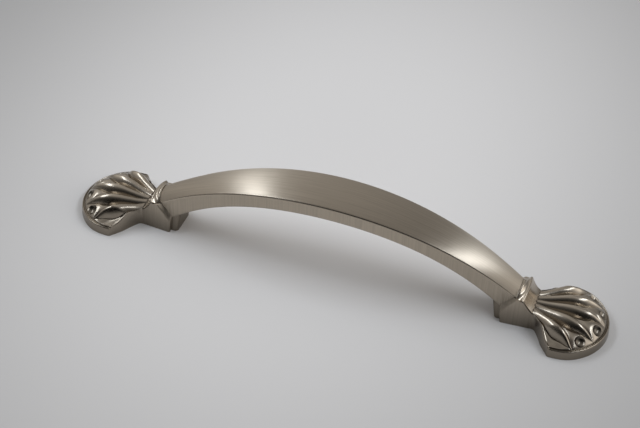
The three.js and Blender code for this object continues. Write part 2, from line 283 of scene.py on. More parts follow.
@dataclass(frozen=True)
class Neck(Form):
    """The collar that rises from the bar, and the neck that falls from its crest to the waist."""

    bar: Bar = Bar()
    collar_x: float = 50.6
    ridge_x: float = 52.4
    ridge_height: float = 9.1
    ridge_width: float = 9.9
    ridge_crown: float = 0.95
    ridge_lean: float = 0.4
    waist_x: float = 55.6
    waist_height: float = 5.7
    waist_crown: float = 0.25
    end_width: float = 9.3
    end_round: float = 0.4
    cove: float = 0.28
    hollow: float = 0.35
    pinch: float = 0.25
    lip: float = 0.3
    core_drop: float = 1.6
    core_in: float = 1.3
    crest_out: float = 0.25
    crest_drop: float = 0.12
    crown_steps: int = 9
    steps: int = 5
    inner_rows: int = 5
    outer_rows: int = 6

    def section(self, x: float, height: float, half: float, crown: float, lean: float) -> list[Vector]:
        """Return a leaning section all the way round, with its lip at the sides."""
        core = height - self.core_drop
        points = [Vector((x, 0, core)), Vector((x, half - self.core_in, core))]
        points.append(Vector((x, half - 0.05, height - self.lip)))
        points.append(Vector((x, half, height - 0.4 * self.lip)))
        for i in range(self.crown_steps, -1, -1):
            across = math.sin(i / self.crown_steps * math.pi / 2)
            rise = crown * Crown().share(across)
            points.append(Vector((x + lean * rise, half * across, height + rise)))
        return mirrored_ring(points)

    def keys(self) -> list[tuple[float, float, float, float, float]]:
        """Return the sections' sizes, from inside the bar to the rounded end in the shell."""
        edge, half, _, crown = self.bar.at(self.collar_x)
        ridge = (self.ridge_height, self.ridge_width / 2, self.ridge_crown, self.ridge_lean)
        foot = (self.collar_x, edge + 0.1, half + 0.1, crown - 0.15, self.ridge_lean)
        crest = (self.ridge_x - 0.22, ridge[0] - 0.02, ridge[1] - 0.05, ridge[2], ridge[3])
        rows = [(self.collar_x - 0.5, edge + 0.1, half - 0.15, crown - 0.1, self.ridge_lean)]
        for i in range(self.inner_rows + 1):
            share = i / self.inner_rows
            x, height, *rest = (lerp(a, b, share) for a, b in zip(foot, crest))
            rows.append((x, height - self.cove * math.sin(math.pi * share), *rest))
        rows.append((self.ridge_x, ridge[0] + 0.03, ridge[1], ridge[2], ridge[3]))
        for i in range(self.outer_rows + 1):
            t = i / self.outer_rows
            x = lerp(self.ridge_x + self.crest_out, self.waist_x - self.end_round, t)
            height = self.fallen(t)
            width = lerp(self.ridge_width, self.end_width, t) / 2 - self.pinch * math.sin(math.pi * t)
            crowned = lerp(self.ridge_crown, self.waist_crown, t)
            rows.append((x, height, width, crowned, self.ridge_lean * (1 - t)))
        end = (self.waist_height - self.end_round, self.end_width / 2 - self.end_round)
        rows.append((self.waist_x, *end, self.waist_crown, 0.0))
        return rows

    def fallen(self, t: float) -> float:
        """Return the neck's height a share t of the way from its crest to the waist."""
        straight = lerp(self.ridge_height - self.crest_drop, self.waist_height, t)
        return straight - self.hollow * math.sin(math.pi * t)

    def lip_height(self, x: float) -> float:
        """Return the height of the underside of the neck's lip at x."""
        start, end = self.ridge_x + self.crest_out, self.waist_x - self.end_round
        t = min(1.0, max(0.0, (x - start) / (end - start)))
        return self.fallen(t) - max(0.0, x - end) - self.lip

    def build(self) -> BMesh:
        """Return the collar and neck of the right end."""
        keys = self.keys()
        rows = (len(keys) - 1) * self.steps
        return self.skin([self.section(*Curve(keys).at(i / rows)) for i in range(rows + 1)])


@dataclass(frozen=True)
class Pedestal(Form):
    """The block under the collar, whose side folds softly in to the bar's side."""

    bar: Bar = Bar()
    neck: Neck = Neck()
    inner_x: float = 47.2
    outer_x: float = 56.6
    width: float = 10.7
    waist: float = 9.4
    lean: float = 0.1
    edge_round: float = 0.35
    fold_foot: tuple[float, float] = (2.8, 1.5)
    fold_top: tuple[float, float] = (6.2, 0.9)
    fold_ease: float = 0.6
    fold_least: float = 0.3
    sink: float = 0.12
    gap: float = 0.12
    round_steps: int = 5
    rows: int = 50
    side_steps: int = 36

    zone = Zone.BRUSHED_UPRIGHT

    def half_width(self, x: float) -> float:
        """Return half the pedestal's width at x."""
        share = (x - self.inner_x) / (self.neck.waist_x - self.inner_x)
        return lerp(self.width, self.waist, share) / 2

    def folds(self, x: float) -> tuple[float, float]:
        """Return the heights where the fold starts and ends at x."""
        along = x - self.inner_x
        return self.fold_foot[0] + self.fold_foot[1] * along, self.fold_top[0] + self.fold_top[1] * along

    def side(self, x: float, z: float) -> float:
        """Return how far the side stands out at x and at a height."""
        low, high = self.folds(x)
        high = max(high, low + self.fold_least)
        inner = self.bar.at(min(x, self.bar.collar_x))[1] - self.sink
        straight = min(1.0, max(0.0, (z - low) / (high - low)))
        share = lerp(straight, smooth(z, low, high), self.fold_ease)
        return lerp(self.half_width(x), inner, share)

    def top(self, x: float) -> float:
        """Return the height of the pedestal's top at x, inside the bar or just below the neck."""
        return min(self.folds(x)[1] + self.fold_least, self.neck.lip_height(x) - self.gap)

    def section(self, x: float, inset: float) -> list[Vector]:
        """Return a section all the way round, set in by an amount at its sides."""
        top = self.top(x)
        lean = self.lean * max(0.0, 1 - (x - self.inner_x) / (self.neck.ridge_x - self.inner_x))
        points = [Vector((x, 0, 0)), Vector((x, self.half_width(x) / 2, 0))]
        for i in range(self.side_steps + 1):
            z = top * i / self.side_steps
            points.append(Vector((x - lean * z, self.side(x, z) - inset, z)))
        last = points[-1]
        return mirrored_ring(points + [Vector((last.x, last.y / 2, top)), Vector((last.x, 0, top))])

    def build(self) -> BMesh:
        """Return the pedestal of the right end, its upright inner edges rounded."""
        keys = []
        for i in range(self.round_steps):
            turn = math.pi / 2 * i / self.round_steps
            x = self.inner_x + self.edge_round * (1 - math.cos(turn))
            keys.append((x, self.edge_round * (1 - math.sin(turn))))
        start = self.inner_x + self.edge_round
        keys += [(lerp(start, self.outer_x, i / self.rows), 0.0) for i in range(self.rows + 1)]
        return self.skin([self.section(x, inset) for x, inset in keys])


@dataclass(frozen=True)
class Boss(Form):
    """The narrower boss on the pedestal's inner side, running up into the bar."""

    fixing: Fixing = Fixing()
    bar: Bar = Bar()
    inner: float = 2.76
    lean: float = 0.15
    width: float = 8.3
    corner: float = 1.0
    segments: int = 6

    zone = Zone.BRUSHED_UPRIGHT

    def build(self) -> BMesh:
        """Return the boss of the right end."""
        near, far = self.fixing.x - self.inner, self.fixing.x + 2
        height = self.bar.at(near)[2] + 1
        half = self.width / 2
        bm = bmesh.new()
        bmesh.ops.create_cube(bm, size=1.0)
        bmesh.ops.scale(bm, vec=(far - near, 2 * half, height), verts=bm.verts)
        bmesh.ops.translate(bm, vec=((near + far) / 2, 0, height / 2), verts=bm.verts)
        upright = [e for e in bm.edges if all(v.co.x < near + 0.01 for v in e.verts)]
        upright = [e for e in upright if abs(e.verts[0].co.y - e.verts[1].co.y) < 0.01]
        bmesh.ops.bevel(
            bm, geom=upright, offset=self.corner, offset_type="OFFSET", segments=self.segments,
            profile=0.5, affect="EDGES", material=-1,
        )
        for v in bm.verts:
            v.co.x -= self.lean * v.co.z
        return self.closed(bm)


@dataclass(frozen=True)
class Dimple(Form):
    """One round dimple, square to the shell's surface."""

    place: Vector
    facing: Vector
    radius: float = 1.6
    depth: float = 0.95
    segments: int = 40

    def build(self) -> BMesh:
        """Return the ball that the dimple takes away."""
        ball = (self.radius**2 + self.depth**2) / (2 * self.depth)
        bm = bmesh.new()
        bmesh.ops.create_uvsphere(
            bm, u_segments=self.segments, v_segments=self.segments // 2, radius=ball,
        )
        bmesh.ops.translate(bm, vec=self.place + self.facing * (ball - self.depth), verts=bm.verts)
        return self.closed(bm)


@dataclass(frozen=True)
class Shell(Form):
    """The scallop shell foot of the right end."""

    start_x: float = 55.4
    waist_width: float = 9.7
    foot_in: float = 0.13
    edge_in: float = 0.35
    edge_to_rib: float = 0.13
    rim_x: float = 75.0
    rim_radius: float = 13.65
    rim_height: float = 2.3
    border: float = 0.85
    dome: float = 2.8
    crown: float = 0.6
    crown_half: float = 7.0
    step_share: float = 0.15
    step_reach: float = 0.22
    slope_reach: float = 2.4
    slope_blend: float = 3.0
    side_fall: float = 1.3
    side_fall_reach: float = 4.8
    side_fall_from: float = 30.0
    side_fall_to: float = 39.0
    corner_turn: float = math.radians(86)
    tuck: float = 0.7
    tuck_turn: tuple[float, float] = (58.0, 94.0)
    tuck_radius: tuple[float, float] = (9.5, 13.6)
    side_turn: float = math.radians(147)
    ribs: int = 5
    rib_pitch: float = math.radians(16)
    rib_height: float = 2.1
    rib_power: float = 1.9
    crease: float = 0.5
    crease_width: float = 0.45
    crease_start: float = 0.4
    crease_end: float = 0.12
    dimple_inset: float = 2.2
    dimple_reach: float = 0.6
    row_ease: float = 0.95
    rib_rows: int = 72
    rim_rows: int = 22
    wall_steps: int = 14
    rib_steps: int = 16
    gap_steps: int = 14

    rib_width: Curve = Curve([[0, 0.86], [0.3, 0.93], [0.5, 0.93], [0.64, 0.77], [0.82, 0.35], [1, 0.03]])
    rib_profile: Curve = Curve([
        [0, 0.17], [0.14, 0.3], [0.29, 0.53], [0.43, 0.75],
        [0.57, 0.82], [0.71, 0.62], [0.86, 0.21], [1, 0],
    ])
    border_profile: Curve = Curve([
        [0, 1], [0.18, 1.02], [0.35, 1.08], [0.53, 1.11], [0.66, 1.06],
        [0.76, 0.96], [0.84, 0.78], [0.92, 0.45], [1, 0],
    ])
    side_soft: Curve = Curve([[0, 1], [1.8, 0.94], [3, 0.92], [4, 0.92], [5, 1]])
    wall_level: int = 5

    @property
    def centre_x(self) -> float:
        """Place of the rim's centre."""
        return self.rim_x - self.rim_radius

    @property
    def fan_x(self) -> float:
        """Place of the centre that the ribs fan out from."""
        outer = self.rib_pitch / 2 * (self.ribs - 1 + self.rib_width.points[0][1])
        return self.start_x - (self.waist_width / 2 - self.edge_in - self.edge_to_rib) / math.tan(outer)

    def reach(self, angle: float, inset: float) -> float:
        """Return the distance from the fan's centre to a circle inside the rim."""
        radius = self.rim_radius - inset
        off = self.centre_x - self.fan_x
        return off * math.cos(angle) + math.sqrt(radius**2 - (off * math.sin(angle)) ** 2)

    def fall(self, x: float, y: float, inside: float) -> float:
        """Return how far the shell has dropped towards its sides."""
        turn = math.degrees(abs(math.atan2(y, x - self.fan_x)))
        across = math.sin(math.pi * min(1.0, inside / self.side_fall_reach))
        return self.side_fall * smooth(turn, self.side_fall_from, self.side_fall_to) * across

    def dimples(self) -> list[Dimple]:
        """Return the dimples between the ribs' ends."""
        made = []
        for gap in range(self.ribs - 1):
            angle = (gap - (self.ribs - 2) / 2) * self.rib_pitch
            r = self.reach(angle, self.dimple_inset)
            x, y = self.fan_x + r * math.cos(angle), r * math.sin(angle)
            made.append(Dimple(Vector((x, y, self.surface(x, y))), self.facing(x, y, self.dimple_reach)))
        return made

    def surface(self, x: float, y: float) -> float:
        """Return the height of the shell's plain surface."""
        inside = max(0.0, self.rim_radius - self.border - math.hypot(x - self.centre_x, y))
        crown = self.crown * max(0.0, 1 - (y / self.crown_half) ** 2)
        step = 1 - math.exp(-((inside / self.step_reach) ** 2))
        left = math.log1p(math.exp(self.slope_blend * (1 - inside / self.slope_reach))) / self.slope_blend
        share = self.step_share * step + (1 - self.step_share) * max(0.0, 1 - left)
        return self.rim_height + (self.dome + crown) * share - self.fall(x, y, inside)

    def facing(self, x: float, y: float, reach: float) -> Vector:
        """Return the direction that the plain surface faces round a point."""
        along = self.surface(x - reach, y) - self.surface(x + reach, y)
        across = self.surface(x, y - reach) - self.surface(x, y + reach)
        return Vector((along, across, 2 * reach)).normalized()

    def crease_at(self, along: float, distance: float) -> float:
        """Return the depth of the crease at a distance from a rib's side."""
        fade = min(1.0, along / self.crease_start, (1 - along) / self.crease_end)
        return self.crease * fade * math.exp(-distance / self.crease_width)

    def rib_row(self, axis: float, along: float) -> list[Vector]:
        """Return one rib's points across, from its +Y side to its -Y side."""
        half = self.rib_pitch / 2 * self.rib_width.over(along)
        height = self.rib_height * self.rib_profile.over(along)
        made = []
        for i in range(self.rib_steps + 1):
            across = math.cos(math.pi * i / self.rib_steps)
            angle = axis + across * half
            start = (self.start_x - self.fan_x) / math.cos(angle)
            r = lerp(start, self.reach(angle, self.border), along)
            x, y = self.fan_x + r * math.cos(angle), r * math.sin(angle)
            body = height * (1 - abs(across) ** self.rib_power)
            crease = self.crease_at(along, r * half * (1 - abs(across)))
            made.append(Vector((x, y, self.surface(x, y) + body - crease)))
        return made

    def gap_row(self, a: Vector, b: Vector, along: float, creased: tuple[bool, bool]) -> list[Vector]:
        """Return the points between two ends of a row, bent round the rim's centre.

        Args:
            a: the end at the +Y side.
            b: the end at the -Y side.
            along: share of the way from the waist to the rim.
            creased: whether each end lies beside a rib.

        Returns:
            The points between the ends.
        """
        width = math.hypot(a.x - b.x, a.y - b.y)
        radii = [math.hypot(p.x - self.centre_x, p.y) for p in (a, b)]
        made = []
        for i in range(1, self.gap_steps):
            share = (1 - math.cos(math.pi * i / self.gap_steps)) / 2
            flat = Vector((lerp(a.x, b.x, share) - self.centre_x, lerp(a.y, b.y, share)))
            flat *= lerp(radii[0], radii[1], share) / flat.length
            x, y = self.centre_x + flat.x, flat.y
            sides = (share * width, (1 - share) * width)
            depths = [self.crease_at(along, d) for d, shown in zip(sides, creased) if shown]
            made.append(Vector((x, y, self.surface(x, y) - max(depths))))
        return made

    def corner(self) -> tuple[float, float]:
        """Return the inner corner of the border."""
        r = self.rim_radius - self.border
        return self.centre_x + r * math.cos(self.corner_turn), r * math.sin(self.corner_turn)

    def side(self, start_y: float, end: tuple[float, float], shares: list[list[float]]) -> Curve:
        """Return the shell's side in plan, from the waist to its corner."""
        ends = [[0, 0], *shares, [1, 1]]
        return Curve([[lerp(self.start_x, end[0], u), lerp(start_y, end[1], v)] for u, v in ends])

    def side_edge(self) -> Curve:
        """Return the side's top edge in plan."""
        shares = [[0.23, 0.19], [0.53, 0.38], [0.75, 0.61], [0.88, 0.82]]
        return self.side(self.waist_width / 2 - self.edge_in, self.corner(), shares)

    def side_foot(self) -> Curve:
        """Return the foot of the side wall in plan."""
        cx, cy = self.corner()
        end = (cx + self.border * math.cos(self.side_turn), cy + self.border * math.sin(self.side_turn))
        shares = [[0.17, 0.035], [0.39, 0.26], [0.62, 0.56], [0.82, 0.8]]
        return self.side(self.waist_width / 2 - self.foot_in, end, shares)

    def top_row(self, along: float) -> list[Vector]:
        """Return one row of points across the shell's top, from the +Y edge to the -Y edge."""
        x, y = self.side_edge().at(along)
        near = Vector((x, y, self.surface(x, y)))
        far = Vector((x, -y, near.z))
        row = [near]
        for rib in range(self.ribs):
            axis = ((self.ribs - 1) / 2 - rib) * self.rib_pitch
            points = self.rib_row(axis, along)
            row += self.gap_row(row[-1], points[0], along, (rib > 0, True)) + points
        return row + self.gap_row(row[-1], far, along, (True, False)) + [far]

    def levels(self) -> list[float]:
        """Return the levels of a side wall's points, from the foot up."""
        n = self.wall_steps
        return [self.wall_level * (1 - i / n) for i in range(n)]

    def wall(self, edge: Vector, foot: Sequence[float]) -> list[Vector]:
        """Return the side wall's points beside one row, from the foot up."""
        made = []
        for level in self.levels():
            out, up = self.border_profile.at(level / self.wall_level)
            z = edge.z * up * self.side_soft.over(level)
            made.append(Vector((lerp(edge.x, foot[0], out), lerp(edge.y, foot[1], out), max(0.0, z))))
        return made

    def corner_wall(self, corner: Vector, level: float) -> list[Vector]:
        """Return the corner's points at one level of the rim, from the foot up."""
        made = []
        for side in self.levels():
            out, up = self.border_profile.at(max(side, level) / self.wall_level)
            turned = level / (level + side)
            angle = lerp(self.side_turn, self.corner_turn, turned)
            r = self.border * out
            z = corner.z * up * lerp(self.side_soft.over(side), 1, turned)
            x, y = corner.x + r * math.cos(angle), corner.y + r * math.sin(angle)
            made.append(Vector((x, y, max(0.0, z))))
        return made

    def section(self, row: list[Vector], wall: list[Vector]) -> list[Vector]:
        """Return a section from the foot of one side wall, over the top, to the foot of the other."""
        points = wall + row + [Vector((p.x, -p.y, p.z)) for p in reversed(wall)]
        return [self.tucked(p) for p in points]

    def tucked(self, point: Vector) -> Vector:
        """Return a point drawn in towards the rim's centre where it is near a corner of the shell."""
        off = Vector((point.x - self.centre_x, point.y))
        turn = math.degrees(abs(math.atan2(off.y, off.x)))
        drawn = self.tuck * smooth(turn, *self.tuck_turn) * smooth(off.length, *self.tuck_radius)
        off *= 1 - drawn / max(off.length, 1.0)
        return Vector((self.centre_x + off.x, off.y, point.z))

    def sections(self) -> list[list[Vector]]:
        """Return all sections, from the waist to the border, then out over the rim and down its wall."""
        foot = self.side_foot()
        made = []
        for i in range(self.rib_rows + 1):
            along = math.sin(i / self.rib_rows * math.pi / 2) ** self.row_ease
            row = self.top_row(along)
            made.append(self.section(row, self.wall(row[0], foot.at(along))))
        last = self.top_row(1.0)
        for i in range(1, self.rim_rows + 1):
            level = self.wall_level * i / self.rim_rows
            out, up = self.border_profile.at(level / self.wall_level)
            r = self.rim_radius - self.border * (1 - out)
            row = []
            for p in last:
                angle = math.atan2(p.y, p.x - self.centre_x)
                x, y = self.centre_x + r * math.cos(angle), r * math.sin(angle)
                row.append(Vector((x, y, max(0.0, p.z * up))))
            made.append(self.section(row, self.corner_wall(last[0], level)))
        return made

    def build(self) -> BMesh:
        """Return the shell of the right end."""
        return self.skin(self.sections())


@dataclass(frozen=True)
class ScrewHole(Form):
    """The blind tapped hole, with its countersunk mouth and its drill point."""

    fixing: Fixing = Fixing()
    point: float = 0.6
    segments: int = 40

    def build(self) -> BMesh:
        """Return the solid that the hole takes away at the right end."""
        r, mouth, depth = self.fixing.bore / 2, self.fixing.mouth / 2, self.fixing.depth
        profile = [(0, -CUTTER_BELOW), (mouth, -CUTTER_BELOW), (mouth, 0), (r, mouth - r), (r, depth)]
        profile.append((0, depth + self.point * r))
        bm = bmesh.new()
        verts = [bm.verts.new((x, 0, z)) for x, z in profile]
        edges = [bm.edges.new(pair) for pair in zip(verts, verts[1:])]
        bmesh.ops.spin(
            bm, geom=verts + edges, cent=(0, 0, 0), axis=(0, 0, 1), angle=2 * math.pi,
            steps=self.segments, use_merge=True, use_duplicate=False,
        )
        bmesh.ops.remove_doubles(bm, verts=bm.verts, dist=WELD)
        bmesh.ops.translate(bm, vec=(self.fixing.x, 0, 0), verts=bm.verts)
        return self.closed(bm)


GRAIN_RANGE = (0.3, 0.7)
BASE_COLOUR = (0.447, 0.390, 0.318)
# Painted shade: the darker colour that the brushed plating takes in its hollows.
HOLLOW_SHADE_COLOUR = (0.30, 0.26, 0.21)


@dataclass(frozen=True)
class NickelPlate:
    """Warm nickel plating, with shade painted into its colour in its hollows and towards the foot, and
    finely lined by the brush.
    """

    name: str
    colour: tuple[float, float, float]
    # Painted shade: the colour mixed in where the skin marks a hollow.
    hollow_shade_colour: tuple[float, float, float]
    roughness: tuple[float, float]
    anisotropy: float
    turn: float
    grain_scale: tuple[float, float, float]
    grain_depth: float
    streak: float
    wave_scale: float
    wave_depth: float
    along_surface: bool = False
    # Painted shade: the colour is scaled down to foot_shade at the foot and rises to full strength at
    # foot_height.
    foot_shade: float = 0.55
    foot_height: float = 0.0105

    def node(self, tree: Tree, kind: str, **values: object) -> bpy.types.Node:
        """Add a node and set its properties."""
        made = tree.nodes.new(kind)
        for key, value in values.items():
            setattr(made, key, value)
        return made

    def spread(
        self, tree: Tree, source: Socket, start: tuple[float, float],
        end: tuple[float, float], kind: str = "LINEAR",
    ) -> Socket:
        """Map a value from one range to another.

        Args:
            tree: the material's nodes.
            source: the socket that gives the value.
            start: the range of the value.
            end: the range that it is mapped to.
            kind: "LINEAR" or "SMOOTHSTEP".

        Returns:
            The socket of the mapped value.
        """
        made = self.node(tree, "ShaderNodeMapRange", interpolation_type=kind)
        for name, value in zip(("From Min", "From Max", "To Min", "To Max"), (*start, *end)):
            made.inputs[name].default_value = value
        tree.links.new(source, made.inputs["Value"])
        return made.outputs[0]

    def noise(self, tree: Tree, source: Socket, scale: float, detail: float) -> Socket:
        """Return a noise of a scale and a detail at the places that a socket gives."""
        made = self.node(tree, "ShaderNodeTexNoise", noise_dimensions="3D")
        made.inputs["Scale"].default_value = scale
        made.inputs["Detail"].default_value = detail
        tree.links.new(source, made.inputs["Vector"])
        return made.outputs["Fac"]

    def bump(self, tree: Tree, height: Socket, depth: float) -> bpy.types.Node:
        """Return a bump of a depth in metres."""
        made = self.node(tree, "ShaderNodeBump")
        made.inputs["Distance"].default_value = depth
        tree.links.new(height, made.inputs["Height"])
        return made

    def material(self) -> bpy.types.Material:
        """Return the plating as a material."""
        made = bpy.data.materials.new(self.name)
        made.use_nodes = True
        tree = made.node_tree
        link = tree.links.new
        shader = tree.nodes["Principled BSDF"]
        shader.inputs["Metallic"].default_value = 1.0
        shader.inputs["Anisotropic"].default_value = self.anisotropy
        shader.inputs["Anisotropic Rotation"].default_value = self.turn
        if self.anisotropy > 0:
            tangent = self.node(tree, "ShaderNodeTangent", direction_type="UV_MAP", uv_map=UV_NAME)
            link(tangent.outputs[0], shader.inputs["Tangent"])

        place = self.node(tree, "ShaderNodeTexCoord")
        stretch = self.node(tree, "ShaderNodeMapping")
        stretch.inputs["Scale"].default_value = self.grain_scale
        source = place.outputs["Object"]
        if self.along_surface:
            source = self.node(tree, "ShaderNodeUVMap", uv_map=UV_NAME).outputs["UV"]
        link(source, stretch.inputs["Vector"])
        grain = self.noise(tree, stretch.outputs[0], 1.0, 3.0)
        wave = self.noise(tree, place.outputs["Object"], self.wave_scale, 2.0)

        # Painted shade: the hollow colour is mixed in where the attribute marks a hollow.
        hollow_shade = self.node(tree, "ShaderNodeAttribute", attribute_name=HOLLOW_SHADE_NAME)
        tint = self.node(tree, "ShaderNodeMix", data_type="RGBA")
        tint.inputs["A"].default_value = (*self.hollow_shade_colour, 1)
        tint.inputs["B"].default_value = (*self.colour, 1)
        link(hollow_shade.outputs["Fac"], tint.inputs["Factor"])
        height = self.node(tree, "ShaderNodeSeparateXYZ")
        link(place.outputs["Object"], height.inputs[0])
        streak = self.spread(tree, grain, GRAIN_RANGE, (1 - self.streak, 1 + self.streak))
        # Painted shade: the colour darkens smoothly towards the foot.
        foot = (0.0, self.foot_height)
        shade = self.spread(tree, height.outputs["Z"], foot, (self.foot_shade, 1.0), "SMOOTHSTEP")
        share = self.node(tree, "ShaderNodeMath", operation="MULTIPLY")
        link(streak, share.inputs[0])
        link(shade, share.inputs[1])
        lined = self.node(tree, "ShaderNodeVectorMath", operation="SCALE")
        link(tint.outputs["Result"], lined.inputs[0])
        link(share.outputs[0], lined.inputs["Scale"])
        link(lined.outputs[0], shader.inputs["Base Color"])

        link(self.spread(tree, grain, GRAIN_RANGE, self.roughness), shader.inputs["Roughness"])

        swell = self.bump(tree, wave, self.wave_depth)
        lines = self.bump(tree, grain, self.grain_depth)
        link(swell.outputs[0], lines.inputs["Normal"])
        link(lines.outputs[0], shader.inputs["Normal"])
        return made


def bar_top_nickel() -> NickelPlate:
    """Return the finish of the bar's top, brushed along its length."""
    return NickelPlate(
        name="nickel_brushed_along",
        colour=BASE_COLOUR,
        hollow_shade_colour=HOLLOW_SHADE_COLOUR,
        roughness=(0.35, 0.41),
        anisotropy=0.95,
        turn=0.25,
        grain_scale=(0.04, 2.6, 0.0),
        grain_depth=0.000012,
        streak=0.12,
        wave_scale=90.0,
        wave_depth=0.00004,
        along_surface=True,
    )


def side_nickel() -> NickelPlate:
    """Return the finish of the sides, brushed upright."""
    return NickelPlate(
        name="nickel_brushed_upright",
        colour=BASE_COLOUR,
        hollow_shade_colour=HOLLOW_SHADE_COLOUR,
        roughness=(0.34, 0.44),
        anisotropy=0.5,
        turn=0.0,
        grain_scale=(2600.0, 2600.0, 60.0),
        grain_depth=0.000018,
        streak=0.1,
        wave_scale=90.0,
        wave_depth=0.00006,
    )


def satin_nickel() -> NickelPlate:
    """Return the finish of the shells and necks."""
    return NickelPlate(
        name="nickel_satin",
        colour=BASE_COLOUR,
        # Painted shade: near black in the hollows of the shells and necks.
        hollow_shade_colour=(0.07, 0.06, 0.048),
        roughness=(0.235, 0.26),
        anisotropy=0.0,
        turn=0.0,
        grain_scale=(900.0, 900.0, 900.0),
        grain_depth=0.000002,
        streak=0.01,
        wave_scale=160.0,
        wave_depth=0.00008,
    )


@dataclass
class Handle:
    """The whole casting: the bar, both feet and their screw holes as one skin."""

    bar: Bar = field(default_factory=Bar)
    neck: Neck = field(default_factory=Neck)
    pedestal: Pedestal = field(default_factory=Pedestal)
    boss: Boss = field(default_factory=Boss)
    shell: Shell = field(default_factory=Shell)
    hole: ScrewHole = field(default_factory=ScrewHole)
    crease_angle: float = math.radians(34)
    hollow_depth: float = 0.18
    evening_steps: int = 16
    evening_share: float = 0.5
    weld: float = 0.01
    sliver: float = 0.005

    def solid(self, name: str, bm: BMesh, turned: bool) -> bpy.types.Object:
        """Make a closed mesh an object, in metres, at the right end or turned to the left."""
        if turned:
            bmesh.ops.rotate(bm, verts=bm.verts, cent=(0, 0, 0), matrix=Matrix.Rotation(math.pi, 3, "Z"))
        bmesh.ops.scale(bm, vec=(MM, MM, MM), verts=bm.verts)
        mesh = bpy.data.meshes.new(name)
        bm.to_mesh(mesh)
        bm.free()
        made = bpy.data.objects.new(name, mesh)
        bpy.context.scene.collection.objects.link(made)
        return made

    def combine(self, body: bpy.types.Object, others: list[bpy.types.Object], operation: str) -> None:
        """Add other solids to a body, or cut them from it, and remove them.

        Args:
            body: the object whose mesh is changed.
            others: the solids to add or cut.
            operation: "UNION" or "DIFFERENCE".
        """
        for other in others:
            modifier = body.modifiers.new("combine", "BOOLEAN")
            modifier.operation = operation
            modifier.solver = "MANIFOLD"
            modifier.object = other
        evaluated = body.evaluated_get(bpy.context.evaluated_depsgraph_get())
        mesh = bpy.data.meshes.new_from_object(evaluated)
        body.modifiers.clear()
        body.data = mesh
        for other in others:
            bpy.data.objects.remove(other)

    def soften(self, mesh: bpy.types.Mesh) -> None:
        """Weld the skin, mark its hollows for painted shade and keep its creases crisp."""
        bm = bmesh.new()
        bm.from_mesh(mesh)
        bmesh.ops.remove_doubles(bm, verts=bm.verts, dist=self.weld * MM)
        bmesh.ops.dissolve_degenerate(bm, edges=bm.edges, dist=self.sliver * MM)
        hollow_shade = bm.verts.layers.float.new(HOLLOW_SHADE_NAME)
        bm.normal_update()
        evened = bm.copy()
        for _ in range(self.evening_steps):
            bmesh.ops.smooth_vert(
                evened, verts=evened.verts, factor=self.evening_share,
                use_axis_x=True, use_axis_y=True, use_axis_z=True,
            )
        # A vertex that lies below its smoothed place is in a hollow, and gets painted shade in proportion
        # to its depth.
        for v, even in zip(bm.verts, evened.verts):
            sunk = (even.co - v.co).dot(v.normal) / (self.hollow_depth * MM)
            v[hollow_shade] = 1 - min(1.0, max(0.0, sunk))
        evened.free()
        for edge in bm.edges:
            edge.smooth = edge.calc_face_angle(math.pi) < self.crease_angle
        for face in bm.faces:
            face.smooth = True
        bm.to_mesh(mesh)
        bm.free()

    def build(self) -> bpy.types.Object:
        """Return the finished handle."""
        body = self.solid("handle", self.bar.build(), False)
        log.info("bar: %d faces", len(body.data.polygons))
        added, cut = [], []
        for end, turned in (("right", False), ("left", True)):
            for form in (self.neck, self.pedestal, self.boss, self.shell):
                name = f"{end}_{type(form).__name__.lower()}"
                added.append(self.solid(name, form.build(), turned))
                log.info("%s: %d faces", name, len(added[-1].data.polygons))
            cut.append(self.solid(f"{end}_hole", self.hole.build(), turned))
            for dimple in self.shell.dimples():
                cut.append(self.solid(f"{end}_dimple", dimple.build(), turned))
        for made in (body, *added, *cut):
            for _ in Zone:
                made.data.materials.append(None)
        self.combine(body, added, "UNION")
        self.combine(body, cut, "DIFFERENCE")
        self.soften(body.data)
        for finish, plate in zip(Zone, (bar_top_nickel(), side_nickel(), satin_nickel())):
            body.data.materials[finish.value] = plate.material()
        crisp = body.modifiers.new("crisp_faces", "WEIGHTED_NORMAL")
        crisp.keep_sharp = True
        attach(body, "root")
        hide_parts("handle_casting")
        log.info("handle: %d faces", len(body.data.polygons))
        return body


@dataclass(frozen=True)
class Lamp:
    """A soft rectangular light, in metres and watts."""

    name: str
    place: tuple[float, float, float]
    size: tuple[float, float]
    power: float
    colour: tuple[float, float, float]
    aim: tuple[float, float, float] = (0.0, 0.0, 0.01)

    def build(self) -> bpy.types.Object:
        """Return the light, aimed at the handle."""
        data = bpy.data.lights.new(self.name, "AREA")
        data.shape = "RECTANGLE"
        data.size, data.size_y = self.size
        data.energy = self.power
        data.color = self.colour
        made = bpy.data.objects.new(self.name, data)
        bpy.context.scene.collection.objects.link(made)
        made.location = self.place
        forward = Vector(self.aim) - Vector(self.place)
        made.rotation_euler = forward.to_track_quat("-Z", "Y").to_euler()
        return made


LAMP_SIZE = (0.7, 0.15)
LAMP_COLOUR = (0.92, 1.0, 1.1)


@dataclass(frozen=True)
class Glow:
    """A soft patch of light in the room, its place in degrees round from the back and up."""

    turn: float
    rise: float
    strength: float

    @property
    def direction(self) -> Vector:
        """Direction of the patch's middle."""
        turn, rise = math.radians(self.turn), math.radians(self.rise)
        return Vector((math.sin(turn) * math.cos(rise), math.cos(turn) * math.cos(rise), math.sin(rise)))


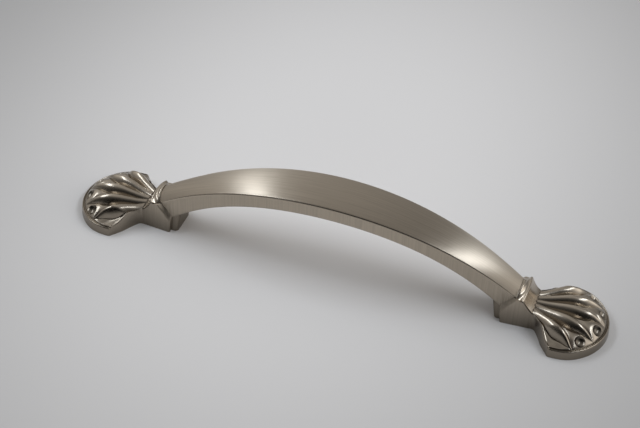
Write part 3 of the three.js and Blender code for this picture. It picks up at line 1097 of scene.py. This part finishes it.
@dataclass(frozen=True)
class Studio:
    """The pale floor, the soft light and the camera of the photograph."""

    floor_half: float = 4.0
    # The floor's colour fades from floor_middle to the darker edge colour away from the handle: painted
    # shade of the light falling off.
    floor_middle: tuple[float, float, float] = (0.80, 0.78, 0.765)
    floor_shaded_edge: tuple[float, float, float] = (0.40, 0.39, 0.38)
    floor_fade: tuple[float, float] = (0.02, 0.16)
    floor_shift: tuple[float, float, float] = (0.018, -0.031, 0.0)
    floor_squeeze: tuple[float, float, float] = (1.0, 0.7, 0.0)
    floor_roughness: float = 0.9
    glow_sharpness: float = 8.0
    glow_colour: tuple[float, float, float] = (1.02, 1.0, 0.98)
    glows: tuple[Glow, ...] = (
        Glow(80, 22, 1.94),
        Glow(-80, 22, 0.6),
        Glow(0, 90, 0.43),
        Glow(-45, 50, 0.38),
        Glow(0, 20, 0.37),
        Glow(-40, 20, 0.32),
        Glow(-120, 30, 0.15),
    )
    camera_place: tuple[float, float, float] = (0.097863, -0.300192, 0.288485)
    yaw: float = math.radians(18.951)
    pitch: float = math.radians(-40.641)
    roll: float = math.radians(2.067)
    lens: float = 88.58
    sensor: float = 36.0
    lamps: tuple[Lamp, ...] = (
        Lamp("left", (-0.60, 0.0, 0.67), LAMP_SIZE, 1.85, LAMP_COLOUR),
        Lamp("right", (0.52, 0.0, 0.73), LAMP_SIZE, 1.96, LAMP_COLOUR),
    )

    def floor(self) -> bpy.types.Object:
        """Return the floor, its colour darkening away from the handle as painted shade."""
        bm = bmesh.new()
        bmesh.ops.create_grid(bm, x_segments=1, y_segments=1, size=self.floor_half)
        mesh = bpy.data.meshes.new("floor")
        bm.to_mesh(mesh)
        bm.free()
        made = bpy.data.objects.new("floor", mesh)
        bpy.context.scene.collection.objects.link(made)
        paper = bpy.data.materials.new("floor_paper")
        paper.use_nodes = True
        tree = paper.node_tree
        shader = tree.nodes["Principled BSDF"]
        shader.inputs["Roughness"].default_value = self.floor_roughness
        link = tree.links.new
        place = tree.nodes.new("ShaderNodeTexCoord")
        squeeze = tree.nodes.new("ShaderNodeMapping")
        squeeze.inputs["Location"].default_value = self.floor_shift
        squeeze.inputs["Scale"].default_value = self.floor_squeeze
        away = tree.nodes.new("ShaderNodeVectorMath")
        away.operation = "LENGTH"
        # Painted shade: the colour fades to the darker edge tone with distance from the handle.
        fade = tree.nodes.new("ShaderNodeMapRange")
        fade.interpolation_type = "SMOOTHSTEP"
        fade.inputs["From Min"].default_value, fade.inputs["From Max"].default_value = self.floor_fade
        tone = tree.nodes.new("ShaderNodeMix")
        tone.data_type = "RGBA"
        tone.inputs["A"].default_value = (*self.floor_middle, 1)
        tone.inputs["B"].default_value = (*self.floor_shaded_edge, 1)
        link(place.outputs["Object"], squeeze.inputs["Vector"])
        link(squeeze.outputs[0], away.inputs[0])
        link(away.outputs["Value"], fade.inputs["Value"])
        link(fade.outputs[0], tone.inputs["Factor"])
        link(tone.outputs["Result"], shader.inputs["Base Color"])
        mesh.materials.append(paper)
        return made

    def camera(self) -> bpy.types.Object:
        """Return the camera and make it the scene's."""
        forward = Vector((
            -math.sin(self.yaw) * math.cos(self.pitch),
            math.cos(self.yaw) * math.cos(self.pitch),
            math.sin(self.pitch),
        ))
        right = Vector((math.cos(self.yaw), math.sin(self.yaw), 0))
        up = right.cross(forward)
        rolled_right = math.cos(self.roll) * right + math.sin(self.roll) * up
        rolled_up = math.cos(self.roll) * up - math.sin(self.roll) * right
        data = bpy.data.cameras.new("camera")
        data.sensor_width = self.sensor
        data.lens = self.lens
        data.clip_start = 0.01
        made = bpy.data.objects.new("camera", data)
        bpy.context.scene.collection.objects.link(made)
        turn = Matrix((rolled_right, rolled_up, -forward)).transposed().to_4x4()
        made.matrix_world = Matrix.Translation(self.camera_place) @ turn
        bpy.context.scene.camera = made
        return made

    def build(self) -> None:
        """Set the whole studio up."""
        self.floor()
        self.camera()
        for lamp in self.lamps:
            lamp.build()
        self.room()
        bpy.context.scene.view_settings.view_transform = "Standard"

    def room(self) -> None:
        """Light the room with soft patches at the back and the sides, and leave its near side dark."""
        world = bpy.data.worlds.new("studio")
        world.use_nodes = True
        tree = world.node_tree
        place = tree.nodes.new("ShaderNodeTexCoord")
        total = None
        for glow in self.glows:
            facing = tree.nodes.new("ShaderNodeVectorMath")
            facing.operation = "DOT_PRODUCT"
            facing.inputs[1].default_value = glow.direction
            tree.links.new(place.outputs["Generated"], facing.inputs[0])
            fall = self.math(tree, "MULTIPLY_ADD", facing.outputs["Value"], self.glow_sharpness)
            fall.inputs[2].default_value = -self.glow_sharpness
            soft = self.math(tree, "EXPONENT", fall.outputs[0], 0.0)
            lit = self.math(tree, "MULTIPLY", soft.outputs[0], glow.strength)
            if total is not None:
                both = self.math(tree, "ADD", lit.outputs[0], 0.0)
                tree.links.new(total.outputs[0], both.inputs[1])
                lit = both
            total = lit
        back = tree.nodes["Background"]
        back.inputs["Color"].default_value = (*self.glow_colour, 1)
        tree.links.new(total.outputs[0], back.inputs["Strength"])
        bpy.context.scene.world = world

    def math(self, tree: Tree, operation: str, source: Socket, value: float) -> bpy.types.Node:
        """Add a node that works on a socket and a value."""
        made = tree.nodes.new("ShaderNodeMath")
        made.operation = operation
        made.inputs[1].default_value = value
        tree.links.new(source, made.inputs[0])
        return made


def main() -> None:
    """Build the handle and the studio."""
    logging.basicConfig(level=logging.INFO, format="%(name)s: %(message)s")
    Studio().build()
    Handle().build()


if __name__ == "__main__":
    main()
